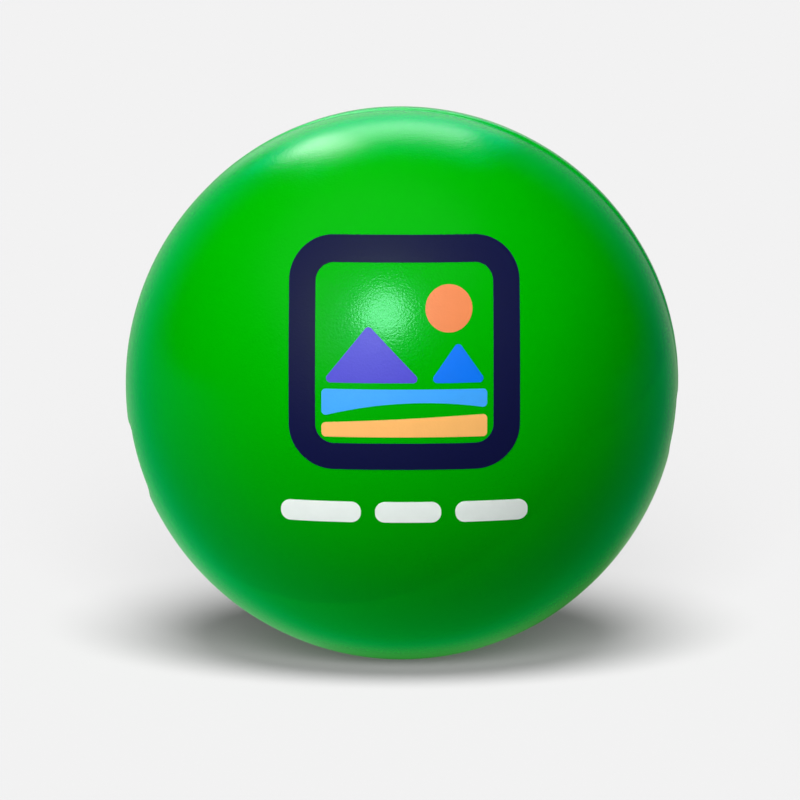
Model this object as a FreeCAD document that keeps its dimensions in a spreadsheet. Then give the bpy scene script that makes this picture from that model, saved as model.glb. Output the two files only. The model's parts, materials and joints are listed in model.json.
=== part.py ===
import FreeCAD, Part
import os

import Sketcher
from FreeCAD import Vector

# Round foam stress ball: a soft foam core inside its own dense moulded skin, a colour coat
# sprayed into the two mould halves, and a seven-colour print on the front.
#
# Part frame, in millimetres: +Z is up, the print faces -Y, and the origin is the centre of the
# small flat that the soft ball makes where it rests.

PARTS_FOLDER = "parts"

# alias, value, meaning. Lengths are in millimetres and angles in degrees.
DIMENSIONS = (
    ("ball_diameter", 70.0, "outside of the colour coat"),
    ("patch_radius", 5.0, "flat where the ball rests under its own weight"),
    ("coat_thickness", 0.2, "colour coat"),
    ("skin_thickness", 1.5, "dense foam that forms against the mould wall"),
    ("bond_gap", 0.02, "bond line between one layer and the next"),
    ("parting_yaw", -6.0, "parting plane, turned about the upright axis"),
    ("parting_dip", 7.0, "parting plane, front pole tipped down"),
    ("ridge_height", 0.13, "moulding ridge, above the ball"),
    ("ridge_width", 0.7, "moulding ridge, across its foot"),
    ("film_thickness", 0.05, "one printed ink"),
    ("print_right", 0.3, "print centre, to the right of the ball's centre"),
    ("print_up", 6.9, "print centre, above the ball's centre"),
    ("print_reach", 40.0, "how far forward the print's outlines are projected"),
    ("frame_size", 27.6, "printed frame, outside"),
    ("frame_band", 3.2, "printed frame, width of its band"),
    ("frame_corner", 5.4, "printed frame, outside corner radius"),
    ("ink_gap", 0.75, "bare strip between neighbouring inks"),
    ("art_corner", 0.5, "rounding of the picture's corners"),
    ("peak_base", -3.4, "foot of both peaks, from the print centre"),
    ("high_peak_x", -4.3, "top of the high peak"),
    ("high_peak_z", 3.4, "top of the high peak"),
    ("high_peak_foot", 2.2, "right foot of the high peak"),
    ("low_peak_x", 6.4, "top of the low peak"),
    ("low_peak_z", 1.5, "top of the low peak"),
    ("hill_left", -7.4, "lower left corner of the hill"),
    ("hill_right", -6.4, "lower right corner of the hill"),
    ("hill_curve", 45.0, "radius of the line between hill and shore"),
    ("sun_x", 5.3, "sun, to the right of the print centre"),
    ("sun_z", 5.3, "sun, above the print centre"),
    ("sun_radius", 2.8, "sun"),
    ("bar_height", 2.6, "caption bars"),
    ("bar_drop", 12.2, "caption bars, below the ball's centre"),
    ("bar_space", 1.7, "space between two caption bars"),
    ("first_bar", 9.6, "left caption bar"),
    ("middle_bar", 7.9, "middle caption bar"),
    ("last_bar", 8.7, "right caption bar"),
)

RADIUS = "dims.ball_diameter / 2"
CENTRE_HEIGHT = f"sqrt(({RADIUS})^2 - dims.patch_radius^2)"
COAT_DEPTH = "dims.coat_thickness"
SKIN_OUTSIDE = "(dims.coat_thickness + dims.bond_gap)"
SKIN_INSIDE = f"({SKIN_OUTSIDE} + dims.skin_thickness)"
CORE_OUTSIDE = f"({SKIN_INSIDE} + dims.bond_gap)"
BAR_TOTAL = "(dims.first_bar + dims.middle_bar + dims.last_bar + 2 * dims.bar_space)"


def make_sheet(doc):
    """Puts the driving dimensions in a spreadsheet, one alias to a row."""
    sheet = doc.addObject("Spreadsheet::Sheet", "dims")
    for row, (alias, value, meaning) in enumerate(DIMENSIONS, start=1):
        sheet.set(f"A{row}", alias)
        sheet.set(f"B{row}", str(value))
        sheet.set(f"C{row}", meaning)
        sheet.setAlias(f"B{row}", alias)
    doc.recompute()
    return sheet


def bind(obj, **expressions):
    """Binds properties to sheet expressions; a double underscore stands for a dot."""
    for name, expression in expressions.items():
        obj.setExpression(name.replace("__", "."), expression)


def boolean(doc, kind, label, base, tool):
    """Part::Cut, Part::Fuse or Part::Common of two objects."""
    result = doc.addObject(f"Part::{kind}", label)
    result.Base = base
    result.Tool = tool
    return result


# ---------------------------------------------------------------- sketches


def front_sketch(body, name, right="0", up="0"):
    """A sketch on the upright X-Z plane: its x is the part's X, its y is Z, it faces -Y.

    Its origin is moved right and up by two expressions.
    """
    plane = next(p for p in body.Origin.OriginFeatures if p.Role == "XZ_Plane")
    sketch = body.newObject("Sketcher::SketchObject", name)
    sketch.AttachmentSupport = [(plane, "")]
    sketch.MapMode = "FlatFace"
    bind(sketch, AttachmentOffset__Base__x=right, AttachmentOffset__Base__y=up)
    return sketch


def fix_datum(sketch, kind, name, expression, *where):
    """Adds a named dimension to a sketch and binds it to a sheet expression."""
    value = float(sketch.evalExpression(expression))
    index = sketch.addConstraint(Sketcher.Constraint(kind, *where, value))
    sketch.renameConstraint(index, name)
    sketch.setExpression(f"Constraints.{name}", expression)


def draw_outline(sketch, name, corners, curves=None):
    """Draws a closed outline through corners given as (x, z) expressions.

    curves maps a side's number to the radius of the arc that replaces that side. The arc
    bows to the left of the way the outline runs.
    """
    curves = curves or {}
    points = [
        Vector(float(sketch.evalExpression(x)), float(sketch.evalExpression(z)), 0)
        for x, z in corners
    ]
    sides = []
    for i, start in enumerate(points):
        end = points[(i + 1) % len(points)]
        if i in curves:
            sides.append(sketch.addGeometry(bowed_side(sketch, start, end, curves[i])))
        else:
            sides.append(sketch.addGeometry(Part.LineSegment(start, end)))
    for i, (x, z) in enumerate(corners):
        side, before = sides[i], sides[i - 1]
        start_point = 2 if i in curves else 1
        end_point = 1 if (i - 1) % len(corners) in curves else 2
        sketch.addConstraint(
            Sketcher.Constraint("Coincident", before, end_point, side, start_point)
        )
        fix_datum(sketch, "DistanceX", f"{name}_x{i}", x, -1, 1, side, start_point)
        fix_datum(sketch, "DistanceY", f"{name}_z{i}", z, -1, 1, side, start_point)
    for i, radius in curves.items():
        fix_datum(sketch, "Radius", f"{name}_curve{i}", radius, sides[i])


def bowed_side(sketch, start, end, radius_expression):
    """Arc of the given radius from start to end, bowing to the left of the way it runs."""
    radius = float(sketch.evalExpression(radius_expression))
    half = (end - start) * 0.5
    rise = radius - (radius**2 - half.Length**2) ** 0.5
    left = Vector(-half.y, half.x, 0).normalize()
    return Part.Arc(start, start + half + left * rise, end)


# ---------------------------------------------------------------- foam and coat


def layer_body(doc, name, outside, inside=None):
    """Ball layer between two depths below the surface, flattened where the ball rests.

    Each face keeps its depth from the outer sphere and from the floor, so a layer is evenly
    thick over the flat too. With no inside the layer is solid.
    """
    body = doc.addObject("PartDesign::Body", name)
    sketch = front_sketch(body, f"{name}_profile")
    faces = [(draw_layer_face(sketch, "outer", outside), "outer")]
    if inside:
        faces.append((draw_layer_face(sketch, "inner", inside), "inner"))
    (outer_arc, outer_flat), _ = faces[0]
    if inside:
        (inner_arc, inner_flat), _ = faces[1]
        join_on_axis(sketch, outer_arc, 2, inner_arc, 2)
        join_on_axis(sketch, outer_flat, 1, inner_flat, 1)
    else:
        join_on_axis(sketch, outer_arc, 2, outer_flat, 1)
    turned = body.newObject("PartDesign::Revolution", f"{name}_turned")
    turned.Profile = sketch
    turned.ReferenceAxis = (sketch, ["V_Axis"])
    turned.Angle = 360
    doc.recompute()
    return body


def draw_layer_face(sketch, name, depth):
    """Arc from the flat's rim to the top pole, and the flat from the axis to its rim."""
    radius = float(sketch.evalExpression(f"{RADIUS} - {depth}"))
    centre = float(sketch.evalExpression(CENTRE_HEIGHT))
    level = float(sketch.evalExpression(depth))
    rim = (radius**2 - (centre - level) ** 2) ** 0.5
    arc = sketch.addGeometry(
        Part.Arc(Vector(rim, level, 0), Vector(radius, centre, 0), Vector(0, centre + radius, 0))
    )
    flat = sketch.addGeometry(Part.LineSegment(Vector(0, level, 0), Vector(rim, level, 0)))
    sketch.addConstraint(Sketcher.Constraint("Coincident", arc, 1, flat, 2))
    sketch.addConstraint(Sketcher.Constraint("Horizontal", flat))
    sketch.addConstraint(Sketcher.Constraint("PointOnObject", flat, 1, -2))
    sketch.addConstraint(Sketcher.Constraint("PointOnObject", arc, 3, -2))
    sketch.addConstraint(Sketcher.Constraint("PointOnObject", arc, 2, -2))
    fix_datum(sketch, "Radius", f"{name}_radius", f"{RADIUS} - {depth}", arc)
    fix_datum(sketch, "DistanceY", f"{name}_centre", CENTRE_HEIGHT, -1, 1, arc, 3)
    fix_datum(sketch, "DistanceY", f"{name}_level", depth, -1, 1, flat, 1)
    return arc, flat


def join_on_axis(sketch, first, first_end, second, second_end):
    """Closes a profile with a line on the axis between the ends of two of its sides."""
    start = sketch.getPoint(first, first_end)
    end = sketch.getPoint(second, second_end)
    line = sketch.addGeometry(Part.LineSegment(start, end))
    sketch.addConstraint(Sketcher.Constraint("Coincident", first, first_end, line, 1))
    sketch.addConstraint(Sketcher.Constraint("Coincident", second, second_end, line, 2))


def parting_placement(quarter_turn):
    """Expression that puts a primitive's +Z along the parting plane's normal.

    A quarter turn of 90 points it to the front, and -90 to the rear.
    """
    turn = f"rotation(dims.parting_yaw; 0; dims.parting_dip + {quarter_turn})"
    return f"placement(vector(0; 0; {CENTRE_HEIGHT}); {turn})"


def make_ridge(doc):
    """Ring whose outer edge is the low moulding ridge around the parting line."""
    half_width = "dims.ridge_width / 2"
    ring_radius = f"((({half_width})^2 + dims.ridge_height^2) / (2 * dims.ridge_height))"
    ridge = doc.addObject("Part::Torus", "parting_ridge")
    bind(
        ridge,
        Radius1=f"{RADIUS} + dims.ridge_height - {ring_radius}",
        Radius2=ring_radius,
        Placement=parting_placement(90),
    )
    return ridge


def make_floor_block(doc):
    """Block above the floor, which keeps the ridge level with the flat."""
    block = doc.addObject("Part::Cylinder", "above_floor")
    bind(block, Radius="dims.ball_diameter", Height="2 * dims.ball_diameter")
    return block


def make_coats(doc):
    """Front and rear colour coats: one thin shell with the ridge, split at the parting plane."""
    outer = layer_body(doc, "coat_outside", "0 * dims.coat_thickness")
    inner = layer_body(doc, "coat_inside", COAT_DEPTH)
    ridged = boolean(doc, "Fuse", "ridged_ball", outer, make_ridge(doc))
    standing = boolean(doc, "Common", "standing_ball", ridged, make_floor_block(doc))
    shell = boolean(doc, "Cut", "coat_shell", standing, inner)
    coats = []
    for label, quarter_turn in (("coat_front", 90), ("coat_rear", -90)):
        half_space = doc.addObject("Part::Cylinder", f"{label}_side")
        bind(
            half_space,
            Radius="dims.ball_diameter",
            Height="dims.ball_diameter",
            Placement=parting_placement(quarter_turn),
        )
        coats.append(boolean(doc, "Common", label, shell, half_space))
    return coats


# ---------------------------------------------------------------- print


def make_film_shell(doc):
    """Thin hollow sphere just above the coat, which every printed ink is cut from."""
    spheres = []
    for name, height in (
        ("film_top", "dims.bond_gap + dims.film_thickness"),
        ("film_underside", "dims.bond_gap"),
    ):
        sphere = doc.addObject("Part::Sphere", name)
        bind(sphere, Radius=f"{RADIUS} + {height}", Placement__Base__z=CENTRE_HEIGHT)
        spheres.append(sphere)
    return boolean(doc, "Cut", "film_shell", *spheres)


def pad_outline(body, sketch):
    """Projects a sketch forward, past the front of the ball."""
    pad = body.newObject("PartDesign::Pad", f"{body.Name}_pad")
    pad.Profile = sketch
    bind(pad, Length="dims.print_reach")
    body.Document.recompute()
    return pad


def round_corners(body, radius, keep=lambda edge: True):
    """Rounds the projected outline's long edges, those that keep() accepts."""
    tip = body.Tip
    names = [
        f"Edge{i}"
        for i, edge in enumerate(tip.Shape.Edges, start=1)
        if isinstance(edge.Curve, Part.Line) and abs(edge.Curve.Direction.y) > 0.99 and keep(edge)
    ]
    fillet = body.newObject("PartDesign::Fillet", f"{body.Name}_corners")
    fillet.Base = (tip, names)
    bind(fillet, Radius=radius)
    body.Document.recompute()


def art_sketch(doc, label):
    """New body for one ink, and a sketch whose origin is the print's centre."""
    body = doc.addObject("PartDesign::Body", f"{label}_outline")
    body.AllowCompound = True
    up = f"{CENTRE_HEIGHT} + dims.print_up"
    return body, front_sketch(body, f"{label}_drawing", "dims.print_right", up)


def square_corners(half):
    """Corners of a square about the sketch's origin, from its half size."""
    return ((f"-{half}", f"-{half}"), (half, f"-{half}"), (half, half), (f"-{half}", half))


def frame_outline(doc, label):
    """Square frame with rounded corners."""
    body, sketch = art_sketch(doc, label)
    draw_outline(sketch, "outer", square_corners("(dims.frame_size / 2)"))
    pad_outline(body, sketch)
    round_corners(body, "dims.frame_corner")
    up = f"{CENTRE_HEIGHT} + dims.print_up"
    window = front_sketch(body, f"{label}_window_drawing", "dims.print_right", up)
    draw_outline(window, "inner", square_corners("(dims.frame_size / 2 - dims.frame_band)"))
    pocket = body.newObject("PartDesign::Pocket", f"{label}_window")
    pocket.Profile = window
    pocket.Type = "ThroughAll"
    pocket.Reversed = True
    doc.recompute()
    inner_half = float(doc.dims.evalExpression("dims.frame_size / 2 - dims.frame_band"))
    centre_x = float(doc.dims.evalExpression("dims.print_right"))

    def on_window(edge):
        return abs(abs(edge.CenterOfMass.x - centre_x) - inner_half) < 0.01

    round_corners(body, "dims.frame_corner - dims.frame_band", on_window)
    return body


def picture_outline(doc, label, corners, curves=None):
    """One colour area of the picture, with rounded corners."""
    body, sketch = art_sketch(doc, label)
    draw_outline(sketch, "area", corners, curves)
    pad_outline(body, sketch)
    round_corners(body, "dims.art_corner")
    return body


def sun_outline(doc, label):
    """Round disc."""
    body, sketch = art_sketch(doc, label)
    radius = float(doc.dims.evalExpression("dims.sun_radius"))
    x = float(doc.dims.evalExpression("dims.sun_x"))
    z = float(doc.dims.evalExpression("dims.sun_z"))
    disc = sketch.addGeometry(Part.Circle(Vector(x, z, 0), Vector(0, 0, 1), radius))
    fix_datum(sketch, "Radius", "sun_radius", "dims.sun_radius", disc)
    fix_datum(sketch, "DistanceX", "sun_x", "dims.sun_x", -1, 1, disc, 3)
    fix_datum(sketch, "DistanceY", "sun_z", "dims.sun_z", -1, 1, disc, 3)
    pad_outline(body, sketch)
    return body


def caption_outline(doc, label):
    """Row of plain bars in the place of a line of words."""
    body = doc.addObject("PartDesign::Body", f"{label}_outline")
    body.AllowCompound = True
    up = f"{CENTRE_HEIGHT} - dims.bar_drop"
    sketch = front_sketch(body, f"{label}_drawing", "dims.print_right", up)
    low, high = "-dims.bar_height / 2", "dims.bar_height / 2"
    left = f"-{BAR_TOTAL} / 2"
    for name in ("first_bar", "middle_bar", "last_bar"):
        right = f"{left} + dims.{name}"
        draw_outline(sketch, name, ((left, low), (right, low), (right, high), (left, high)))
        left = f"{right} + dims.bar_space"
    pad_outline(body, sketch)
    round_corners(body, "dims.bar_height * 0.45")
    return body


def make_print(doc):
    """The seven printed inks, each cut from the thin shell above the coat."""
    side = "(dims.frame_size / 2 - dims.frame_band - dims.ink_gap)"
    high_foot = "dims.high_peak_foot"
    low_foot = f"{high_foot} + dims.ink_gap"
    hill_top = "dims.peak_base - dims.ink_gap"
    peak_base = "dims.peak_base"
    outlines = {
        "print_frame": frame_outline(doc, "print_frame"),
        "print_high_peak": picture_outline(
            doc,
            "print_high_peak",
            (
                (f"-{side}", peak_base),
                (high_foot, peak_base),
                ("dims.high_peak_x", "dims.high_peak_z"),
            ),
        ),
        "print_low_peak": picture_outline(
            doc,
            "print_low_peak",
            ((low_foot, peak_base), (side, peak_base), ("dims.low_peak_x", "dims.low_peak_z")),
        ),
        "print_hill": picture_outline(
            doc,
            "print_hill",
            (
                (side, "dims.hill_right"),
                (side, hill_top),
                (f"-{side}", hill_top),
                (f"-{side}", "dims.hill_left"),
            ),
            {3: "dims.hill_curve"},
        ),
        "print_shore": picture_outline(
            doc,
            "print_shore",
            (
                (side, "dims.hill_right - dims.ink_gap"),
                (f"-{side}", "dims.hill_left - dims.ink_gap"),
                (f"-{side}", f"-{side}"),
                (side, f"-{side}"),
            ),
        ),
        "print_sun": sun_outline(doc, "print_sun"),
        "print_caption": caption_outline(doc, "print_caption"),
    }
    film_shell = make_film_shell(doc)
    return [boolean(doc, "Common", label, body, film_shell) for label, body in outlines.items()]


# ---------------------------------------------------------------- whole ball


def check(doc, nodes):
    """Stops if any object failed or any sub-part's shape is empty or invalid."""
    for obj in doc.Objects:
        if {"Invalid", "Error"} & set(obj.State):
            raise RuntimeError(f"{obj.Label} failed: {obj.State}")
    for node in nodes:
        if node.Shape.isNull() or not node.Shape.isValid() or not node.Shape.Solids:
            raise RuntimeError(f"{node.Label} has no valid solid")


def main():
    doc = FreeCAD.newDocument("stress_ball")
    make_sheet(doc)
    nodes = [
        layer_body(doc, "foam_core", CORE_OUTSIDE),
        layer_body(doc, "integral_skin", SKIN_OUTSIDE, SKIN_INSIDE),
        *make_coats(doc),
        *make_print(doc),
    ]
    doc.recompute()
    check(doc, nodes)
    os.makedirs(PARTS_FOLDER, exist_ok=True)
    for node in nodes:
        node.Shape.exportStep(os.path.join(PARTS_FOLDER, f"{node.Label}.step"))
        print(f"{node.Label}: {len(node.Shape.Solids)} solids, {node.Shape.Volume:.2f} mm3")


main()
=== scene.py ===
"""Looks of a soft foam stress ball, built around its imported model.

The ball is dressed the way it is made: a soft foam core, the dense skin that the foam forms
against the mould, a green coat in two halves that meet at the parting line, and a print of
seven inks on the front. Lengths are in metres, +Z is up, and the print faces -Y.
"""

import json
import logging
import math
from dataclasses import dataclass
from enum import Enum
from typing import Any, Iterable, Optional, Sequence

import bmesh
import bpy
from mathutils import Matrix, Vector, noise

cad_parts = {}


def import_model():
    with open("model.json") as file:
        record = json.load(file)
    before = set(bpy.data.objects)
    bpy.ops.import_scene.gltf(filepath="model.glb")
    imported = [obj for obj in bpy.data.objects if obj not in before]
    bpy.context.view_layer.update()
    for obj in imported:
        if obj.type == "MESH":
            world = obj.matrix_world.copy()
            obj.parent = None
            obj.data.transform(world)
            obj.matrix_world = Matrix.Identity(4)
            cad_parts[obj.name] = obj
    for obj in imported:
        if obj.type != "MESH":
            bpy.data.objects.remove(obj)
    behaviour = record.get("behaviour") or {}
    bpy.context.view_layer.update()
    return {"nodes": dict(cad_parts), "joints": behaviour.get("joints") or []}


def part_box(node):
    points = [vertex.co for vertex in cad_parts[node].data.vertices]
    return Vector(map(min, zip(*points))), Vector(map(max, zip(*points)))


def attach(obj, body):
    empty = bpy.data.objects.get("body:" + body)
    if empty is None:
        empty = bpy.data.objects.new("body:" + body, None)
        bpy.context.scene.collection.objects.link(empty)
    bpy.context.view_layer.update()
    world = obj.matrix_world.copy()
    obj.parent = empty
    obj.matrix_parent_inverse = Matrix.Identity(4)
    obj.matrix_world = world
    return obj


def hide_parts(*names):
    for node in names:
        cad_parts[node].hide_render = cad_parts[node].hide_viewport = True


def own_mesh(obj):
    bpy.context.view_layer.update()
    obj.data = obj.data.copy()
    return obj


MM = 0.001
Colour = tuple[float, float, float]
log = logging.getLogger("stress_ball")


# ---------------------------------------------------------------- shader graphs


class Value:
    """A socket that takes part in ordinary arithmetic, each step of which is a Math node."""

    def __init__(self, graph: "Graph", socket: bpy.types.NodeSocket) -> None:
        """Wraps a socket.

        Args:
            graph: The graph that new nodes go into.
            socket: The output socket that holds the value.
        """
        self.graph = graph
        self.socket = socket

    def _math(self, operation: str, first: Any, second: Any) -> "Value":
        """Adds one Math node.

        Args:
            operation: The Math node's operation.
            first: The upper operand, a Value or a number.
            second: The lower operand, a Value or a number.

        Returns:
            The node's result.
        """
        made = self.graph.node("ShaderNodeMath", {"operation": operation}, {0: first, 1: second})
        return Value(self.graph, made.outputs[0])

    def __add__(self, other: Any) -> "Value":
        """Sum."""
        return self._math("ADD", self, other)

    __radd__ = __add__

    def __sub__(self, other: Any) -> "Value":
        """Difference."""
        return self._math("SUBTRACT", self, other)

    def __rsub__(self, other: Any) -> "Value":
        """Difference with the number first."""
        return self._math("SUBTRACT", other, self)

    def __mul__(self, other: Any) -> "Value":
        """Product."""
        return self._math("MULTIPLY", self, other)

    __rmul__ = __mul__

    def __truediv__(self, other: Any) -> "Value":
        """Quotient."""
        return self._math("DIVIDE", self, other)

    def __pow__(self, other: Any) -> "Value":
        """Power."""
        return self._math("POWER", self, other)

    def at_least(self, least: Any) -> "Value":
        """The value, or the least one allowed."""
        return self._math("MAXIMUM", self, least)


class Graph:
    """The node tree of a material or of the world."""

    def __init__(self, tree: bpy.types.NodeTree) -> None:
        """Takes over a node tree and empties it.

        Args:
            tree: The tree to build in.
        """
        self.tree = tree
        tree.nodes.clear()

    def node(
        self, kind: str, settings: Optional[dict] = None, sockets: Optional[dict] = None
    ) -> bpy.types.Node:
        """Adds a node of any kind.

        Args:
            kind: The node's type.
            settings: Properties to set first; "stops" are a ramp's (position, colour) pairs.
            sockets: Socket names or numbers, with the value or link that each gets.

        Returns:
            The new node.
        """
        made = self.tree.nodes.new(kind)
        for name, value in (settings or {}).items():
            if name == "stops":
                self._set_stops(made.color_ramp, value)
            else:
                setattr(made, name, value)
        for name, value in (sockets or {}).items():
            socket = made.inputs[name]
            if isinstance(value, Value):
                self.tree.links.new(value.socket, socket)
            elif isinstance(value, bpy.types.NodeSocket):
                self.tree.links.new(value, socket)
            else:
                socket.default_value = value
        return made

    @staticmethod
    def _set_stops(ramp: bpy.types.ColorRamp, stops: Sequence[tuple[float, Colour]]) -> None:
        """Gives a ramp its stops.

        Args:
            ramp: The ramp to change.
            stops: Positions and colours, in order.
        """
        while len(ramp.elements) < len(stops):
            ramp.elements.new(1.0)
        for element, (position, colour) in zip(ramp.elements, stops):
            element.position = position
            element.color = (*colour, 1.0)

    def grain(self, where: Any, size: float, detail: float = 2.0) -> Value:
        """Soft random variation about 0.5.

        Args:
            where: The coordinates to read.
            size: Width of one grain, in metres.
            detail: How many finer octaves ride on it.

        Returns:
            The noise's value.
        """
        made = self.node(
            "ShaderNodeTexNoise",
            {"noise_dimensions": "3D"},
            {"Vector": where, "Scale": 1.0 / size, "Detail": detail, "Roughness": 0.5},
        )
        return Value(self, made.outputs[0])

    def blend(self, factor: Any, first: Any, second: Any) -> bpy.types.NodeSocket:
        """Mixes two colours.

        Args:
            factor: 0 for the first colour and 1 for the second.
            first: A colour or a link.
            second: A colour or a link.

        Returns:
            The mixed colour.
        """
        made = self.node(
            "ShaderNodeMix",
            {"data_type": "RGBA", "clamp_factor": True},
            {0: factor, 6: self._rgba(first), 7: self._rgba(second)},
        )
        return made.outputs[2]

    def vector(self, operation: str, first: Any, second: Any = None) -> bpy.types.Node:
        """Adds a Vector Math node; the second operand may be left out."""
        sockets = {0: first} if second is None else {0: first, 1: second}
        return self.node("ShaderNodeVectorMath", {"operation": operation}, sockets)

    def along(self, offset: Any, axis: Any) -> Value:
        """How far an offset reaches along an axis."""
        return Value(self, self.vector("DOT_PRODUCT", offset, axis).outputs["Value"])

    def rise(self, value: Any, low: float, high: float) -> Value:
        """A value's way from low to high, as 0 to 1."""
        made = self.node("ShaderNodeMapRange", sockets={0: value, 1: low, 2: high})
        return Value(self, made.outputs[0])

    def bump(self, height: Value, share: float = 1.0) -> bpy.types.NodeSocket:
        """Turns a relief into a normal.

        Args:
            height: Height of the relief, in metres.
            share: How much of it shows.

        Returns:
            The bumped normal.
        """
        sockets = {"Strength": share, "Distance": 1.0, "Height": height}
        return self.node("ShaderNodeBump", sockets=sockets).outputs[0]

    def principled(self, sockets: dict) -> None:
        """Ends a material with a Principled shader that has the given sockets."""
        shader = self.node("ShaderNodeBsdfPrincipled", sockets=sockets)
        self.node("ShaderNodeOutputMaterial", sockets={"Surface": shader.outputs[0]})

    @staticmethod
    def _rgba(colour: Any) -> Any:
        """A three-part colour with its alpha; a link is left alone."""
        return (*colour, 1.0) if isinstance(colour, tuple) else colour


def new_material(name: str) -> tuple[bpy.types.Material, Graph]:
    """Makes an empty node material.

    Args:
        name: The material's name.

    Returns:
        The material and its graph.
    """
    material = bpy.data.materials.new(name)
    material.use_nodes = True
    return material, Graph(material.node_tree)


# ---------------------------------------------------------------- finishes


@dataclass(frozen=True)
class Peel:
    """Orange peel: the fine leathery relief that a satin coat takes from the mould.

    Attributes:
        grain: Width of one dimple.
        depth: Height of the fine relief.
        swell: Width of the slow waves under the dimples.
        swell_depth: Height of those waves.
    """

    grain: float = 0.27 * MM
    depth: float = 0.022 * MM
    swell: float = 2.6 * MM
    swell_depth: float = 0.002 * MM

    def normal(self, graph: Graph, where: Any, share: float = 1.0) -> bpy.types.NodeSocket:
        """Relief as a bumped normal.

        Args:
            graph: The graph to build in.
            where: The coordinates to read.
            share: How much of the relief shows, less under a film of ink.

        Returns:
            The bumped normal.
        """
        fine = graph.grain(where, self.grain, 1.5)
        slow = graph.grain(where, self.swell, 1.0)
        return graph.bump(fine * self.depth + slow * self.swell_depth, share)


@dataclass(frozen=True)
class CoatFinish:
    """Satin green colour coat, a little duller and paler where the parting line was trimmed, the
    paler colour partly a painted sheen on the rim.

    Attributes:
        name: The material's name.
        green: The coat's colour.
        deep_green: Its colour in the slow clouds where it went on thicker.
        trimmed_and_sheen_green: Its colour where it was cut or rubbed, paler and bluer, partly as a
            painted sheen on the rim.
        glint: Colour of its gloss.
        cloud: Width of one slow cloud.
        speck: Width of one speck.
        roughness: Mean roughness of untouched coat.
        unevenness: How much the clouds, and the specks in them, change the roughness.
        paling: How much of the trimmed colour, with its painted sheen, shows on a full cut.
        dulling: How much roughness a full cut adds.
        peel: The coat's relief.
    """

    name: str = "green_coat"
    green: Colour = (0.0, 0.335, 0.0)
    deep_green: Colour = (0.0, 0.305, 0.0)
    trimmed_and_sheen_green: Colour = (0.002, 0.35, 0.03)
    glint: Colour = (0.36, 0.95, 0.68)
    cloud: float = 9.0 * MM
    speck: float = 0.9 * MM
    roughness: float = 0.172
    unevenness: float = 0.05
    paling: float = 0.8
    dulling: float = 0.2
    peel: Peel = Peel()

    def make(self) -> bpy.types.Material:
        """Builds the material.

        Returns:
            The finished material.
        """
        material, graph = new_material(self.name)
        where = graph.node("ShaderNodeTexCoord").outputs["Object"]
        marked = graph.node("ShaderNodeAttribute", {"attribute_name": "trim"})
        trim = Value(graph, marked.outputs["Fac"])
        cloud = graph.grain(where, self.cloud, 3.0)
        speck = graph.grain(where, self.speck, 2.0)
        colour = graph.blend(cloud * 0.7 + speck * 0.3, self.green, self.deep_green)
        # Paler, bluer coat on the trimmed line and scars: partly the trim's own colour, partly a
        # painted sheen on the rim.
        colour = graph.blend(trim * self.paling, colour, self.trimmed_and_sheen_green)
        uneven = cloud * self.unevenness + speck * self.unevenness
        graph.principled(
            {
                "Base Color": colour,
                "Roughness": uneven + trim * self.dulling + (self.roughness - self.unevenness),
                "IOR": 1.47,
                "Specular Tint": (*self.glint, 1.0),
                "Normal": self.peel.normal(graph, where),
            }
        )
        return material


@dataclass(frozen=True)
class InkFinish:
    """Opaque pad-print ink: even colour, with the coat's relief showing through softly.

    Attributes:
        name: The material's name.
        colour: The ink's colour.
        patch: Width of one thick or thin patch.
        thinning: How bright the ink is where it went on thinnest.
        roughness: Least roughness of the dry ink.
        unevenness: How much the roughness rises where the ink is thin.
        peel: Relief of the coat below.
        show_through: How much of that relief the ink leaves.
    """

    name: str
    colour: Colour
    patch: float = 1.4 * MM
    thinning: float = 0.93
    roughness: float = 0.38
    unevenness: float = 0.08
    peel: Peel = Peel()
    show_through: float = 0.7

    def make(self) -> bpy.types.Material:
        """Builds the material.

        Returns:
            The finished material.
        """
        material, graph = new_material(self.name)
        where = graph.node("ShaderNodeTexCoord").outputs["Object"]
        laydown = graph.grain(where, self.patch, 3.0)
        thin = tuple(part * self.thinning for part in self.colour)
        graph.principled(
            {
                "Base Color": graph.blend(laydown, self.colour, thin),
                "Roughness": laydown * self.unevenness + self.roughness,
                "IOR": 1.32,
                "Normal": self.peel.normal(graph, where, self.show_through),
            }
        )
        return material


@dataclass(frozen=True)
class FoamFinish:
    """Foam, open and matt, with pores darkened by painted shade.

    Attributes:
        name: The material's name.
        wall: Colour of the cell walls.
        pore_shade: Colour in the pores, darker as painted shade in the hollows.
        cell: Width of one cell.
        relief: Height of the walls above the pores.
    """

    name: str
    wall: Colour
    pore_shade: Colour
    cell: float
    relief: float

    def make(self) -> bpy.types.Material:
        """Builds the material.

        Returns:
            The finished material.
        """
        material, graph = new_material(self.name)
        where = graph.node("ShaderNodeTexCoord").outputs["Object"]
        cells = graph.node(
            "ShaderNodeTexVoronoi", {"feature": "F1"}, {"Vector": where, "Scale": 1 / self.cell}
        )
        depth = Value(graph, cells.outputs["Distance"])
        cloud = graph.grain(where, 6 * MM, 3.0)
        # Painted shade: the hollows of the cells take the darker pore colour; the clouds add random
        # tone.
        colour = graph.blend(depth * 0.8 + cloud * 0.2, self.pore_shade, self.wall)
        graph.principled(
            {
                "Base Color": colour,
                "Roughness": cloud * 0.1 + 0.85,
                "IOR": 1.4,
                "Normal": graph.bump(depth * self.relief),
            }
        )
        return material


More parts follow.
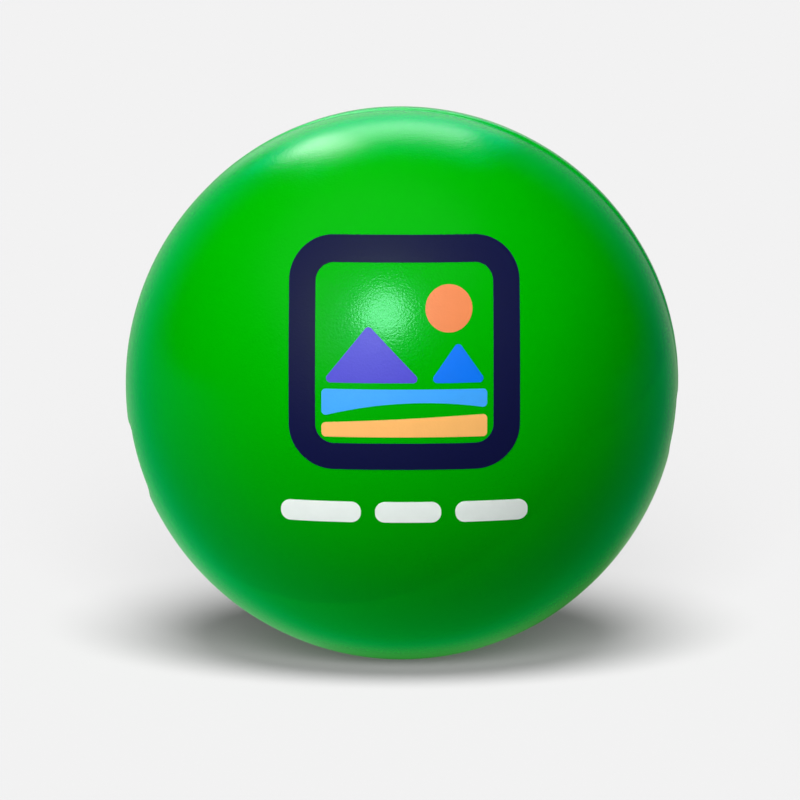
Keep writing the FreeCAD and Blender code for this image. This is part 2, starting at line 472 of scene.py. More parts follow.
INKS = {
    "print_frame": InkFinish("navy_ink", (0.0040, 0.0050, 0.045)),
    "print_high_peak": InkFinish("violet_ink", (0.067, 0.055, 0.52)),
    "print_low_peak": InkFinish("blue_ink", (0.0, 0.14, 0.74)),
    "print_hill": InkFinish("sky_ink", (0.045, 0.31, 0.84)),
    "print_shore": InkFinish("peach_ink", (0.90, 0.42, 0.13)),
    "print_sun": InkFinish("orange_ink", (0.70, 0.19, 0.066)),
    "print_caption": InkFinish("white_ink", (0.95, 0.95, 0.95)),
}
# Each foam's second colour is painted shade in its pores.
FOAM = FoamFinish("foam", (0.74, 0.76, 0.62), (0.42, 0.45, 0.30), 0.45 * MM, 0.12 * MM)
SKIN = FoamFinish("skin", (0.22, 0.50, 0.22), (0.12, 0.34, 0.13), 0.25 * MM, 0.03 * MM)
COAT = CoatFinish()


# ---------------------------------------------------------------- the ball's shape


def smooth_step(low: float, high: float, value: float) -> float:
    """Rises from 0 at low to 1 at high, level at both ends."""
    share = min(max((value - low) / (high - low), 0.0), 1.0)
    return share * share * (3.0 - 2.0 * share)


@dataclass(frozen=True)
class TrimScar:
    """Shallow flat where a tab of waste foam was cut off the finished ball.

    Attributes:
        outward: Direction of the scar's middle, from the ball's centre.
        along: Direction in which the knife ran.
        length: Size along the knife's way, as an angle in radians.
        width: Size across it, as an angle in radians.
        depth: How far the cut goes below the surface.
        edge: Width of its soft ends, as an angle in radians; its sides are twice as soft.
    """

    outward: Vector
    along: Vector
    length: float
    width: float
    depth: float
    edge: float = math.radians(2.2)

    def cut(self, direction: Vector) -> float:
        """Measures the scar in one direction.

        Args:
            direction: From the ball's centre, of length 1.

        Returns:
            How deep the scar is there, in metres.
        """
        if direction.dot(self.outward) < 0.5:
            return 0.0
        across = self.outward.cross(self.along).normalized()
        u = abs(math.asin(max(-1.0, min(1.0, direction.dot(self.along)))))
        v = abs(math.asin(max(-1.0, min(1.0, direction.dot(across)))))
        inside_u = 1.0 - smooth_step(self.length / 2 - self.edge, self.length / 2, u)
        inside_v = 1.0 - smooth_step(self.width / 2 - 2 * self.edge, self.width / 2, v)
        return self.depth * inside_u * inside_v


@dataclass
class BallForm:
    """Outer shape of the real ball: nearly round, with the marks that moulding leaves.

    Attributes:
        centre: Middle of the ball.
        radius: Radius of the plain sphere.
        parting: Normal of the parting plane, out through the front half.
        proud: Direction in which the rear half stands out furthest past the front half.
        scars: Flats cut by trimming.
        step: Mean height of the rear half's lip at the parting line.
        step_swing: How much that height changes around the ball.
        ragged: Height of the small chance changes along the lip.
        ragged_turns: How quickly they follow each other, as noise cells to a radius.
        flank: Width of the lip's front slope.
        lip_fade: Distance over which the lip dies away towards the back.
        wobble: Height of the slow waves in the soft surface.
        wobble_turns: How quickly the long and the short waves follow each other.
        short_share: Height of the short waves, as a share of the long ones.
        line: How far off the parting plane the trimmed line starts to fade, and ends.
        line_trim: How strongly the line shows as trimmed, with the coat's painted sheen there, of
            1.
        scar_trim: How strongly the scars show as trimmed, with the coat's painted sheen there, of
            1.
        ease: How softly the round surface turns into the flat it rests on.
    """

    centre: Vector
    radius: float
    parting: Vector
    proud: Vector
    scars: tuple[TrimScar, ...] = ()
    step: float = -0.13 * MM
    step_swing: float = 0.38 * MM
    ragged: float = 0.018 * MM
    ragged_turns: float = 24.0
    flank: float = 0.85 * MM
    lip_fade: float = 7.0 * MM
    wobble: float = 0.05 * MM
    wobble_turns: tuple[float, float] = (2.3, 5.1)
    short_share: float = 0.4
    line: tuple[float, float] = (0.2 * MM, 0.8 * MM)
    line_trim: float = 0.4
    scar_trim: float = 0.5
    ease: float = 0.06 * MM

    def lip_height(self, direction: Vector) -> float:
        """Measures the rear half's lip in one direction.

        Args:
            direction: From the ball's centre, of length 1.

        Returns:
            Its height there, which is zero on the front half.
        """
        behind = -direction.dot(self.parting) * self.radius
        if behind <= 0.0:
            return 0.0
        around = direction.dot(self.proud)
        ragged = noise.noise(direction * self.ragged_turns) * self.ragged
        full = max(self.step + self.step_swing * around + ragged, 0.0)
        rise = smooth_step(0.0, self.flank, behind)
        return full * rise * (1.0 - smooth_step(self.flank, self.lip_fade, behind))

    def relief(self, direction: Vector) -> float:
        """Adds all the marks up.

        Args:
            direction: From the ball's centre, of length 1.

        Returns:
            How far the surface stands off the plain sphere there.
        """
        long, short = (noise.noise(direction * turns) for turns in self.wobble_turns)
        waves = (long + self.short_share * short) * self.wobble
        cuts = sum(scar.cut(direction) for scar in self.scars)
        return waves + self.lip_height(direction) - cuts

    def trim(self, direction: Vector) -> float:
        """Says how much the coat was cut or rubbed in one direction, which also places its painted
        rim sheen.

        Args:
            direction: From the ball's centre, of length 1.

        Returns:
            0 on untouched coat, rising on the parting line and in the scars.
        """
        off_line = abs(direction.dot(self.parting)) * self.radius
        line = self.line_trim - self.line_trim * smooth_step(*self.line, off_line)
        cuts = max((scar.cut(direction) / scar.depth for scar in self.scars), default=0.0)
        return max(line, cuts * self.scar_trim)

    def point(self, direction: Vector, lift: float = 0.0) -> Vector:
        """A point of the surface, or of a layer above or below it.

        Args:
            direction: From the ball's centre, of length 1.
            lift: Height above the surface, negative for a layer below it.

        Returns:
            The point, raised level with the floor where the ball rests.
        """
        place = self.centre + direction * (self.radius + self.relief(direction) + lift)
        floor = max(-lift, 0.0)
        sunk = place.z - floor
        place.z = floor + 0.5 * (sunk + math.sqrt(sunk * sunk + self.ease * self.ease))
        return place


def direction_from(form: BallForm, place: Vector) -> Vector:
    """Direction of a point from the ball's centre, of length 1."""
    return (place - form.centre).normalized()


def to_piece(bm: bmesh.types.BMesh, name: str, material: bpy.types.Material) -> bpy.types.Object:
    """Turns a bmesh into a smooth-shaded piece at the origin.

    Args:
        bm: The finished shape, which is freed.
        name: The piece's name.
        material: The finish.

    Returns:
        The new object.
    """
    for face in bm.faces:
        face.smooth = True
    mesh = bpy.data.meshes.new(name)
    bm.to_mesh(mesh)
    bm.free()
    mesh.materials.append(material)
    piece = bpy.data.objects.new(name, mesh)
    bpy.context.scene.collection.objects.link(piece)
    return piece


def plain_ball(form: BallForm, subdivisions: int) -> bmesh.types.BMesh:
    """Makes a fine, even ball of triangles.

    Args:
        form: The ball's form, for its centre and radius.
        subdivisions: Fineness of the ball.

    Returns:
        The new bmesh.
    """
    bm = bmesh.new()
    place = Matrix.Translation(form.centre)
    bmesh.ops.create_icosphere(bm, subdivisions=subdivisions, radius=form.radius, matrix=place)
    return bm


def add_wall(piece: bpy.types.Object, thickness: float) -> None:
    """Gives a piece a wall of even thickness below its surface, as part of its mesh.

    Args:
        piece: The piece to thicken.
        thickness: Thickness of the wall.
    """
    wall = piece.modifiers.new("wall", "SOLIDIFY")
    wall.thickness = thickness
    wall.offset = -1.0
    wall.use_even_offset = False
    bpy.context.view_layer.update()
    surface = piece.data
    walled = piece.evaluated_get(bpy.context.evaluated_depsgraph_get())
    piece.data = bpy.data.meshes.new_from_object(walled)
    piece.modifiers.clear()
    bpy.data.meshes.remove(surface)
    piece.data.name = piece.name


# ---------------------------------------------------------------- sub-assemblies


class Half(Enum):
    """Which mould half a coat comes from."""

    FRONT = 1
    REAR = -1


@dataclass
class Squeeze:
    """Figures of the soft ball's squeeze from front to rear; nothing here flattens the pieces.

    Attributes:
        joint: Name of the joint that drives it; not used.
        front: Front pole of the ball at rest; not used.
        rear: Rear pole of the ball at rest; not used.
        keep: Share of the depth that is left at the joint's limit; not used.
    """

    joint: str
    front: Vector
    rear: Vector
    keep: float

    def apply(self, piece: bpy.types.Object, half: Half) -> None:
        """Gives a piece its own copy of its mesh; it is not flattened here."""
        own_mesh(piece)


@dataclass
class ColourCoat:
    """Green coat in two thin cups, with the lip and ridge where they meet.

    Attributes:
        form: The ball's outer shape.
        squeeze: The squeeze, which only gives each piece its own mesh.
        thickness: Thickness of the coat.
        band: Width of the finely divided band beside the parting line.
        subdivisions: Fineness of the cups.
        steps: Where the band's rings lie, as shares of its width, from its edge to the line.
    """

    form: BallForm
    squeeze: Squeeze
    thickness: float = 0.2 * MM
    band: float = 1.6 * MM
    subdivisions: int = 7
    steps: tuple[float, ...] = (0.72, 0.5, 0.34, 0.23, 0.155, 0.115, 0.085, 0.06, 0.035, 0.015, 0.0)

    def build(self, material: bpy.types.Material) -> list[bpy.types.Object]:
        """Builds both cups.

        Args:
            material: The coat's finish.

        Returns:
            The front and rear pieces.
        """
        pieces = []
        for half, node, body in (
            (Half.FRONT, "coat_front", "front_half"),
            (Half.REAR, "coat_rear", "rear_half"),
        ):
            piece = self._cup(half, f"green_{node}", material)
            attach(piece, body)
            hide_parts(node)
            self.squeeze.apply(piece, half)
            pieces.append(piece)
        return pieces

    def _cup(self, half: Half, name: str, material: bpy.types.Material) -> bpy.types.Object:
        """Builds one cup, its open edge on the parting plane.

        Args:
            half: Which mould half it comes from.
            name: The piece's name.
            material: The coat's finish.

        Returns:
            The cup, with its wall.
        """
        form = self.form
        side = form.parting * half.value
        bm = plain_ball(form, self.subdivisions)
        bmesh.ops.bisect_plane(
            bm,
            geom=[*bm.verts, *bm.edges, *bm.faces],
            dist=1e-6,
            plane_co=form.centre + side * self.band,
            plane_no=side,
            clear_inner=True,
        )
        rim = [edge for edge in bm.edges if edge.is_boundary]
        for step in self.steps:
            made = bmesh.ops.extrude_edge_only(bm, edges=rim)["geom"]
            for vert in (part for part in made if isinstance(part, bmesh.types.BMVert)):
                vert.co = self._on_ring(vert.co, side, self.band * step)
            edges = (part for part in made if isinstance(part, bmesh.types.BMEdge))
            rim = [edge for edge in edges if edge.is_boundary]
        trim = bm.verts.layers.float.new("trim")
        for vert in bm.verts:
            direction = direction_from(form, vert.co)
            vert.co = form.point(direction)
            vert[trim] = form.trim(direction)
        bmesh.ops.recalc_face_normals(bm, faces=bm.faces)
        piece = to_piece(bm, name, material)
        add_wall(piece, self.thickness)
        return piece

    def _on_ring(self, place: Vector, side: Vector, height: float) -> Vector:
        """Moves a point round the sphere.

        Args:
            place: The point.
            side: Normal of the parting plane, out through this half.
            height: Height above the parting plane that the point goes to.

        Returns:
            Its new place.
        """
        offset = place - self.form.centre
        flat = offset - side * offset.dot(side)
        reach = math.sqrt(self.form.radius**2 - height**2)
        return self.form.centre + side * height + flat.normalized() * reach


@dataclass
class FoamBody:
    """Soft core and the dense skin around it, both hidden under the coat.

    Attributes:
        form: The ball's outer shape.
        squeeze: The squeeze, which only gives each piece its own mesh.
        skin_depth: How far the skin's outside lies below the surface.
        skin_thickness: Thickness of the skin.
        core_gap: Gap between the skin and the core.
        cell_depth: Depth of the open cells on the core.
        cell_turns: How quickly the cells follow each other, as noise cells to a radius.
        subdivisions: Fineness of both pieces.
    """

    form: BallForm
    squeeze: Squeeze
    skin_depth: float = 0.26 * MM
    skin_thickness: float = 1.4 * MM
    core_gap: float = 0.25 * MM
    cell_depth: float = 0.12 * MM
    cell_turns: float = 55.0
    subdivisions: int = 6

    def build(self, foam: bpy.types.Material, skin: bpy.types.Material) -> list[bpy.types.Object]:
        """Builds the core and the skin.

        Args:
            foam: The core's finish.
            skin: The skin's finish.

        Returns:
            The two pieces.
        """
        shell = self._ball("dense_skin", self.skin_depth, 0.0, skin)
        add_wall(shell, self.skin_thickness)
        core_depth = self.skin_depth + self.skin_thickness + self.core_gap
        core = self._ball("soft_core", core_depth, self.cell_depth, foam)
        for piece, node, slot in (
            (shell, "integral_skin", "skin"),
            (core, "foam_core", "foam"),
        ):
            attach(piece, "front_half")
            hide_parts(node)
            self.squeeze.apply(piece, Half.FRONT)
        return [shell, core]

    def _ball(
        self, name: str, depth: float, cells: float, material: bpy.types.Material
    ) -> bpy.types.Object:
        """Builds a closed layer, roughened by foam cells.

        Args:
            name: The piece's name.
            depth: How far the layer lies below the surface.
            cells: Depth of the cells.
            material: The finish.

        Returns:
            The new object.
        """
        form = self.form
        bm = plain_ball(form, self.subdivisions)
        for vert in bm.verts:
            direction = direction_from(form, vert.co)
            rough = abs(noise.noise(direction * self.cell_turns)) * cells
            vert.co = form.point(direction, -depth - rough)
        return to_piece(bm, name, material)


@dataclass
class FrontPrint:
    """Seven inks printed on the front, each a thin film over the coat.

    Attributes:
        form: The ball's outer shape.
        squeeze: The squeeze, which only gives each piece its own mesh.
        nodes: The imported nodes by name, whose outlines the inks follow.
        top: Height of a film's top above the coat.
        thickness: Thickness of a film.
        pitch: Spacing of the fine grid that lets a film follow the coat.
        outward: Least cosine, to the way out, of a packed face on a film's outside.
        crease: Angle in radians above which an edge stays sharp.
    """

    form: BallForm
    squeeze: Squeeze
    nodes: dict[str, bpy.types.Object]
    top: float = 0.025 * MM
    thickness: float = 0.035 * MM
    pitch: float = 0.8 * MM
    outward: float = 0.7
    crease: float = 0.6

    def build(self, inks: dict[str, InkFinish]) -> list[bpy.types.Object]:
        """Builds every ink.

        Args:
            inks: Finishes by node name.

        Returns:
            The ink pieces.
        """
        pieces = []
        for node, finish in inks.items():
            piece = self._film(node, finish.make())
            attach(piece, "front_half")
            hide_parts(node)
            self.squeeze.apply(piece, Half.FRONT)
            pieces.append(piece)
        return pieces

    def _film(self, node: str, material: bpy.types.Material) -> bpy.types.Object:
        """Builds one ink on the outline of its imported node's outside face.

        Args:
            node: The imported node's name.
            material: The ink's finish.

        Returns:
            The film.
        """
        form = self.form
        bm = bmesh.new()
        bm.from_mesh(self.nodes[node].data)
        bmesh.ops.remove_doubles(bm, verts=bm.verts, dist=1e-6)
        hidden = [
            face
            for face in bm.faces
            if face.normal.dot(direction_from(form, face.calc_center_median())) < self.outward
        ]
        bmesh.ops.delete(bm, geom=hidden, context="FACES")
        for vert in bm.verts:
            vert.co.y = 0.0
        self._cut_grid(bm)
        self._join_cells(bm)
        for vert in bm.verts:
            height = form.radius**2 - vert.co.x**2 - (vert.co.z - form.centre.z) ** 2
            vert.co.y = -math.sqrt(height)
        bmesh.ops.recalc_face_normals(bm, faces=bm.faces)
        outside = bmesh.ops.extrude_face_region(bm, geom=bm.faces, use_keep_orig=True)["geom"]
        upper = {part for part in outside if isinstance(part, bmesh.types.BMVert)}
        for vert in bm.verts:
            lift = self.top if vert in upper else self.top - self.thickness
            vert.co = form.point(direction_from(form, vert.co), lift)
        bmesh.ops.recalc_face_normals(bm, faces=bm.faces)
        for edge in bm.edges:
            edge.smooth = edge.calc_face_angle(0.0) < self.crease
        return to_piece(bm, node.replace("print_", "ink_"), material)

    def _cut_grid(self, bm: bmesh.types.BMesh) -> None:
        """Cuts a flat outline along upright and level planes a pitch apart.

        Args:
            bm: The flat outline.
        """
        for axis in (Vector((1, 0, 0)), Vector((0, 0, 1))):
            reach = [vert.co.dot(axis) for vert in bm.verts]
            first, last = (math.floor(end / self.pitch) for end in (min(reach), max(reach)))
            for count in range(first + 1, last + 1):
                bmesh.ops.bisect_plane(
                    bm,
                    geom=[*bm.verts, *bm.edges, *bm.faces],
                    dist=1e-7,
                    plane_co=axis * (count * self.pitch),
                    plane_no=axis,
                )

    def _join_cells(self, bm: bmesh.types.BMesh) -> None:
        """Joins the scraps inside each square of the grid into one face.

        Args:
            bm: The outline, cut along the grid.
        """
        cells: dict[tuple[int, int], list[bmesh.types.BMFace]] = {}
        for face in bm.faces:
            middle = face.calc_center_median()
            place = (math.floor(middle.x / self.pitch), math.floor(middle.z / self.pitch))
            cells.setdefault(place, []).append(face)
        for scraps in cells.values():
            if len(scraps) > 1:
                bmesh.ops.dissolve_faces(bm, faces=scraps, use_verts=False)


# ---------------------------------------------------------------- studio


@dataclass(frozen=True)
class SoftBox:
    """Soft box near the ball, which its gloss shows.

    Attributes:
        name: The light's name.
        toward: Direction to it, as right, up and towards the camera.
        away: Distance from the ball's middle.
        size: Width and height; equal ones make it round.
        glow: Brightness of its front.
        tint: Colour of its light.
    """

    name: str
    toward: tuple[float, float, float]
    away: float
    size: tuple[float, float]
    glow: float
    tint: Colour = (1.0, 1.0, 1.0)


@dataclass(frozen=True)
class FarLight:
    """Broad, even light that leaves no glint.

    Attributes:
        name: The light's name.
        toward: Direction to it, as right, up and towards the camera.
        spread: Its angle across, in degrees.
        strength: Its strength.
        on_floor: Whether it lights the floor and not the ball.
    """

    name: str
    toward: tuple[float, float, float]
    spread: float
    strength: float
    on_floor: bool = False


BOXES = (
    SoftBox("front_box", (-0.12, 0.46, 0.88), 0.9, (0.28, 0.28), 12.8),
    SoftBox("front_glow", (-0.13, 0.44, 0.89), 0.9, (0.60, 0.60), 1.2, (0.0, 1.0, 0.45)),
    SoftBox("top_glow", (-0.060, 0.808, -0.587), 0.7, (0.54, 0.46), 0.9, (0.0, 1.0, 0.75)),
    SoftBox("top_box", (-0.066, 0.795, -0.603), 0.7, (0.41, 0.20), 2.1, (0.90, 0.94, 0.96)),
    SoftBox("window", (-0.265, 0.799, -0.540), 0.7, (0.12, 0.25), 2.8, (1.0, 0.82, 0.9)),
    SoftBox("back_box", (-0.04, 0.46, -0.887), 1.0, (0.50, 0.36), 0.44, (0.8, 1.0, 0.9)),
)
FAR_LIGHTS = (
    FarLight("upper_sky", (-0.20, 0.81, 0.55), 80.0, 2.76),
    FarLight("front_sky", (-0.36, 0.34, 0.87), 40.0, 1.78),
    FarLight("low_left", (-0.62, -0.44, -0.65), 60.0, 2.8),
    FarLight("low_middle", (-0.10, -0.72, -0.69), 60.0, 2.8),
    FarLight("low_right", (0.50, -0.50, -0.70), 60.0, 2.2),
    FarLight("overhead", (0.0, 0.809, 0.588), 32.0, 26.8, on_floor=True),
    FarLight("low_front", (0.0, 0.242, 0.970), 28.0, 22.6, on_floor=True),
)


@dataclass
class Studio:
    """Pale sweep, camera and soft lights around the ball.

    Attributes:
        centre: Middle of the ball.
        radius: Radius of the ball.
        elevation: How far the camera looks down, in degrees.
        distance: From the camera to the ball's middle, in ball radii.
        fill: Share of the frame's width that the ball takes.
        aim: What the camera looks at, right and up from the ball's middle.
        sensor: Width of the camera's sensor, in millimetres.
        backdrop: Brightness of the sweep.
        floor_reach: Half the floor's width.
        floor_white: How much light the floor gives back.
        floor_haze: Brightness that it keeps in the ball's shade.
        bounce: Brightness of the floor, as the ball's own colour takes it up.
        room: What the gloss shows of the room, from the sides to straight behind the ball.
        warmth: The red part of it, which only shows far behind.
        side_dimming: How much darker the room is to the right than in the middle.
        pivot: How squarely behind a place lies that has the same glow high and low.
        narrowing: How much more quickly the glow changes high above the ball.
        high: Where a wall starts to count as high, and is, as the sine of its height.
        shifts: How far behind, and how near the ball's axis, the floor counts, in ball radii.
        under: Direction to the floor below the ball's back.
        least_glow: Slope and base of the floor's least glow towards there.
        contact: Distances from the contact at which the floor's glow starts and is full.
        shade: The same distances from the middle of the ball's shade.
        shade_middle: That middle.
    """

    centre: Vector
    radius: float
    elevation: float = 6.0
    distance: float = 15.0
    fill: float = 0.6905
    aim: tuple[float, float] = (-0.22 * MM, -2.14 * MM)
    sensor: float = 36.0
    backdrop: float = 0.88
    floor_reach: float = 40.0
    floor_white: float = 0.08
    floor_haze: float = 0.10
    bounce: float = 0.12
    room: tuple[tuple[float, Colour], ...] = (
        (0.0, (0.0, 0.0, 0.0)),
        (0.11, (0.0, 0.10, 0.08)),
        (0.23, (0.0, 0.26, 0.20)),
        (0.36, (0.0, 0.43, 0.28)),
        (0.46, (0.0, 0.54, 0.37)),
        (0.61, (0.0, 0.63, 0.43)),
        (0.80, (0.0, 0.70, 0.47)),
    )
    warmth: tuple[tuple[float, Colour], ...] = (
        (0.53, (0.0, 0.0, 0.0)),
        (0.61, (0.06, 0.0, 0.0)),
        (0.68, (0.18, 0.0, 0.0)),
        (0.74, (0.25, 0.0, 0.0)),
        (0.80, (0.31, 0.0, 0.0)),
        (0.90, (0.36, 0.0, 0.0)),
    )
    side_dimming: float = 0.25
    pivot: float = 0.6
    narrowing: float = 1.2
    high: tuple[float, float] = (0.0, 0.2)
    shifts: tuple[float, float] = (0.343, 0.94)
    under: tuple[float, float, float] = (-0.16, 0.8, -0.8)
    least_glow: tuple[float, float] = (0.5, 0.10)
    contact: tuple[float, float] = (0.004, 0.013)
    shade: tuple[float, float] = (0.006, 0.046)
    shade_middle: tuple[float, float, float] = (0.010, 0.020, 0.0)

    def axes(self) -> tuple[Vector, Vector, Vector]:
        """Gives the main view's own axes.

        Returns:
            Its right, its up and the way towards the camera.
        """
        tilt = math.radians(self.elevation)
        toward = Vector((0.0, -math.cos(tilt), math.sin(tilt)))
        up = Vector((0.0, math.sin(tilt), math.cos(tilt)))
        return Vector((1.0, 0.0, 0.0)), up, toward

    def direction(self, right: float, up: float, toward: float) -> Vector:
        """A direction given in the main view's own axes."""
        axes = self.axes()
        return (axes[0] * right + axes[1] * up + axes[2] * toward).normalized()

    def build(self, pieces: Iterable[bpy.types.Object]) -> None:
        """Sets the whole studio up.

        Args:
            pieces: The ball's pieces, which most lights are meant for.
        """
        bpy.context.scene.view_settings.view_transform = "Standard"
        on_floor = self._group("lit_floor", [self._floor()])
        on_ball = self._group("lit_ball", pieces)
        self._camera()
        self._world()
        for box in BOXES:
            self._add_box(box, on_ball)
        for far in FAR_LIGHTS:
            self._add_far(far, on_floor if far.on_floor else on_ball)

    @staticmethod
    def _group(name: str, members: Iterable[bpy.types.Object]) -> bpy.types.Collection:
        """Makes a collection that a light is linked to.

        Args:
            name: The collection's name.
            members: What the light falls on.

        Returns:
            The collection.
        """
        group = bpy.data.collections.new(name)
        for member in members:
            group.objects.link(member)
        return group

    def _camera(self) -> None:
        """Camera at the height and distance of the main view."""
        right, up, toward = self.axes()
        lens = bpy.data.cameras.new("camera")
        half_angle = math.asin(1.0 / self.distance)
        lens.sensor_width = self.sensor
        lens.lens = self.sensor / 2.0 / (math.tan(half_angle) / self.fill)
        lens.clip_start = 0.01
        lens.clip_end = 100.0
        camera = bpy.data.objects.new("camera", lens)
        target = self.centre + right * self.aim[0] + up * self.aim[1]
        camera.location = target + toward * self.distance * self.radius
        camera.rotation_euler = toward.to_track_quat("Z", "Y").to_euler()
        bpy.context.scene.collection.objects.link(camera)
        bpy.context.scene.camera = camera

    def _floor(self) -> bpy.types.Object:
        """Lays the wide pale floor.

        Returns:
            The floor.
        """
        bm = bmesh.new()
        bmesh.ops.create_grid(bm, x_segments=1, y_segments=1, size=self.floor_reach)
        floor = to_piece(bm, "floor", self._floor_finish())
        floor.visible_shadow = False
        return floor

    def _floor_finish(self) -> bpy.types.Material:
        """Builds a floor that is plain to the eye, and in the gloss is brighter behind the ball.

        Returns:
            The finished material.
        """
        material, graph = new_material("pale_floor")
        where = graph.node("ShaderNodeTexCoord").outputs["Object"]
        glow = graph.blend(self._lit(graph, where), (0.0, 0.0, 0.0), self._floor_glow(graph, where))
        rays = graph.node("ShaderNodeLightPath").outputs
        felt = graph.blend(rays["Is Glossy Ray"], (self.bounce,) * 3, glow)
        felt = graph.node("ShaderNodeEmission", sockets={"Color": felt, "Strength": 1.0})
        white, haze = ((level, level, level, 1.0) for level in (self.floor_white, self.floor_haze))
        white = graph.node("ShaderNodeBsdfDiffuse", sockets={"Color": white})
        haze = graph.node("ShaderNodeEmission", sockets={"Color": haze})
        seen = graph.node("ShaderNodeAddShader", sockets={0: white.outputs[0], 1: haze.outputs[0]})
        shader = graph.node(
            "ShaderNodeMixShader",
            sockets={0: rays["Is Camera Ray"], 1: felt.outputs[0], 2: seen.outputs[0]},
        )
        graph.node("ShaderNodeOutputMaterial", sockets={"Surface": shader.outputs[0]})
        return material

    def _floor_glow(self, graph: Graph, where: Any) -> bpy.types.NodeSocket:
        """What the gloss shows of the floor, away from the ball's shade.

        Args:
            graph: The graph to build in.
            where: The coordinates to read.

        Returns:
            The colour.
        """
        offset = graph.vector("SUBTRACT", where, self.centre).outputs["Vector"]
        ahead = graph.along(offset, -self.axes()[2])
        squared = graph.along(offset, offset)
        aside = (squared - ahead * ahead) ** 0.5 - self.shifts[1] * self.radius
        sight = graph.vector("NORMALIZE", offset).outputs["Vector"]
        side = graph.along(sight, (1.0, 0.0, 0.0))
        slope, base = self.least_glow
        least = graph.along(sight, self.under) * slope + base
        behind = self._behind(ahead + self.shifts[0] * self.radius, aside).at_least(least)
        return self._surroundings(graph, behind, side, 0.0)

    def _lit(self, graph: Graph, where: Any) -> Value:
        """How far a place on the floor is out of the ball's shade.

        Args:
            graph: The graph to build in.
            where: The coordinates to read.

        Returns:
            0 under the ball, rising to 1 away from it.
        """
        near = graph.vector("LENGTH", where).outputs["Value"]
        shade = graph.vector("DISTANCE", where, self.shade_middle).outputs["Value"]
        return graph.rise(near, *self.contact) * graph.rise(shade, *self.shade)

    @staticmethod
    def _behind(ahead: Value, aside: Value) -> Value:
        """How squarely a place lies behind the ball, from 0 at its sides to 1."""
        return ahead / (ahead + aside).at_least(0.0001)

    def _surroundings(
        self, graph: Graph, behind: Value, side: Value, lift: Any
    ) -> bpy.types.NodeSocket:
        """What the gloss shows of the room in one place.

        Args:
            graph: The graph to build in.
            behind: How squarely the place lies behind the ball, from 0 to 1.
            side: How far to the right it lies, from -1 to 1.
            lift: 1 for places well above the ball, where the room is darker to the sides.

        Returns:
            The colour.
        """
        drawn_in = (behind - self.pivot) * lift * self.narrowing + behind
        room = graph.node("ShaderNodeValToRGB", {"stops": self.room}, {"Fac": drawn_in})
        dimming = side * self.side_dimming + self.side_dimming
        dimmed = graph.blend(dimming, room.outputs["Color"], (0.0, 0.0, 0.0))
        warmth = graph.node("ShaderNodeValToRGB", {"stops": self.warmth}, {"Fac": behind})
        both = graph.vector("ADD", dimmed, warmth.outputs["Color"])
        return both.outputs["Vector"]

    def _world(self) -> None:
        """Even backdrop to the eye, and pale walls behind the ball in its gloss."""
        world = bpy.data.worlds.new("studio")
        bpy.context.scene.world = world
        world.use_nodes = True
        graph = Graph(world.node_tree)
        where = graph.node("ShaderNodeTexCoord").outputs["Generated"]
        right, up, toward = self.axes()
        ahead = graph.along(where, -toward)
        aside = (1.0 - ahead * ahead) ** 0.5
        lift = graph.rise(graph.along(where, up), *self.high)
        side = graph.along(where, right)
        walls = self._surroundings(graph, self._behind(ahead, aside), side, lift)
        rays = graph.node("ShaderNodeLightPath").outputs
        colour = graph.blend(rays["Is Glossy Ray"], (0.0, 0.0, 0.0), walls)
        colour = graph.blend(rays["Is Camera Ray"], colour, (self.backdrop,) * 3)
        shader = graph.node("ShaderNodeBackground", sockets={"Color": colour, "Strength": 1.0})
        graph.node("ShaderNodeOutputWorld", sockets={"Surface": shader.outputs[0]})

    def _add_box(self, box: SoftBox, lit: bpy.types.Collection) -> None:
        """Adds a soft box.

        Args:
            box: The box.
            lit: What it lights.
        """
        data = bpy.data.lights.new(box.name, "AREA")
        data.shape = "ELLIPSE" if box.size[0] == box.size[1] else "RECTANGLE"
        data.size, data.size_y = box.size
        shape = math.pi / 4.0 if data.shape == "ELLIPSE" else 1.0
        data.energy = box.glow * math.pi * box.size[0] * box.size[1] * shape
        data.color = box.tint
        toward = self.direction(*box.toward)
        light = bpy.data.objects.new(box.name, data)
        light.location = self.centre + toward * box.away
        light.rotation_euler = toward.to_track_quat("Z", "Y").to_euler()
        light.light_linking.receiver_collection = lit
        bpy.context.scene.collection.objects.link(light)

    def _add_far(self, far: FarLight, lit: bpy.types.Collection) -> None:
        """Adds a broad light.

        Args:
            far: The light.
            lit: What it lights.
        """
        data = bpy.data.lights.new(far.name, "SUN")
        data.angle = math.radians(far.spread)
        data.energy = far.strength
        light = bpy.data.objects.new(far.name, data)
        light.rotation_euler = self.direction(*far.toward).to_track_quat("Z", "Y").to_euler()
        light.visible_glossy = False
        light.light_linking.receiver_collection = lit
        bpy.context.scene.collection.objects.link(light)


# ---------------------------------------------------------------- whole ball

PARTING_YAW = math.radians(-6.0)
PARTING_DIP = math.radians(7.0)
# Where on the outline the rear half stands out furthest, in degrees round the main view.
PROUD_CLOCK = 65.0
# Each scar's place on the outline and its length, in degrees, and its depth.
SCARS = ((196.0, 17.0, 0.25 * MM), (-8.0, 14.0, 0.12 * MM))
SCAR_WIDTH = math.radians(17.0)
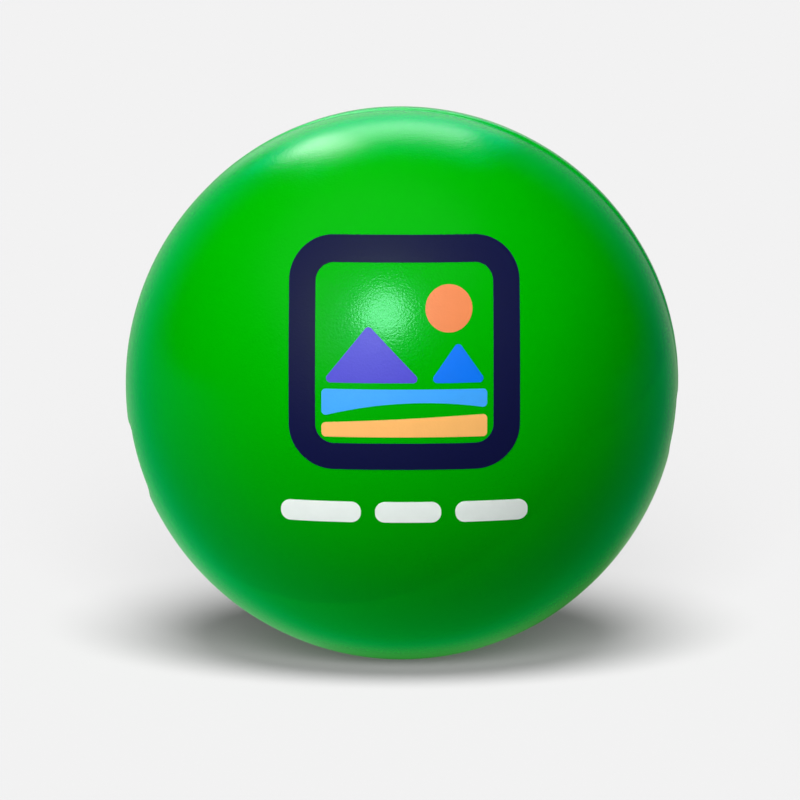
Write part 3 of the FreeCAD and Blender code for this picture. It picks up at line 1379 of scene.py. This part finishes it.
# The coat and the bond line below it, as packed.
COAT_AND_BOND = 0.22 * MM


def view_direction(studio: Studio, clock: float) -> Vector:
    """Direction of a point on the ball's outline in the main view.

    Args:
        studio: The studio that holds the view.
        clock: Angle round the outline in degrees, from the right towards the top.

    Returns:
        The direction from the ball's centre.
    """
    angle = math.radians(clock)
    nearer = 1.0 / studio.distance
    across = math.sqrt(1.0 - nearer * nearer)
    return studio.direction(math.cos(angle) * across, math.sin(angle) * across, nearer)


def read_form(studio: Studio) -> BallForm:
    """Works out the ball's shape, with its marks where the main view shows them.

    Args:
        studio: The studio that holds the main view.

    Returns:
        The ball's outer shape.
    """
    level = math.cos(PARTING_DIP)
    parting = Vector(
        (math.sin(PARTING_YAW) * level, -math.cos(PARTING_YAW) * level, -math.sin(PARTING_DIP))
    )
    toward = studio.axes()[2]
    scars = []
    for clock, length, depth in SCARS:
        outward = view_direction(studio, clock)
        along = toward.cross(outward).normalized()
        scars.append(TrimScar(outward, along, math.radians(length), SCAR_WIDTH, depth))
    proud = view_direction(studio, PROUD_CLOCK)
    return BallForm(studio.centre, studio.radius, parting, proud, tuple(scars))


def main() -> None:
    """Builds the ball and its studio, one sub-assembly after another."""
    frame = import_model()
    low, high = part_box("integral_skin")
    radius = (high.x - low.x) / 2 + COAT_AND_BOND
    centre = Vector((0.0, 0.0, high.z + COAT_AND_BOND - radius))
    studio = Studio(centre, radius)
    form = read_form(studio)
    travel = frame["joints"][0]["range_m"][1]
    squeeze = Squeeze(
        frame["joints"][0]["name"],
        centre - Vector((0.0, radius, 0.0)),
        centre + Vector((0.0, radius, 0.0)),
        1.0 - travel / (2 * radius),
    )
    pieces = ColourCoat(form, squeeze).build(COAT.make())
    pieces += FoamBody(form, squeeze).build(FOAM.make(), SKIN.make())
    pieces += FrontPrint(form, squeeze, frame["nodes"]).build(INKS)
    for piece in pieces:
        log.info("%s: %d faces", piece.name, len(piece.data.polygons))
    studio.build(pieces)


if __name__ == "__main__":
    logging.basicConfig(level=logging.INFO)
    main()
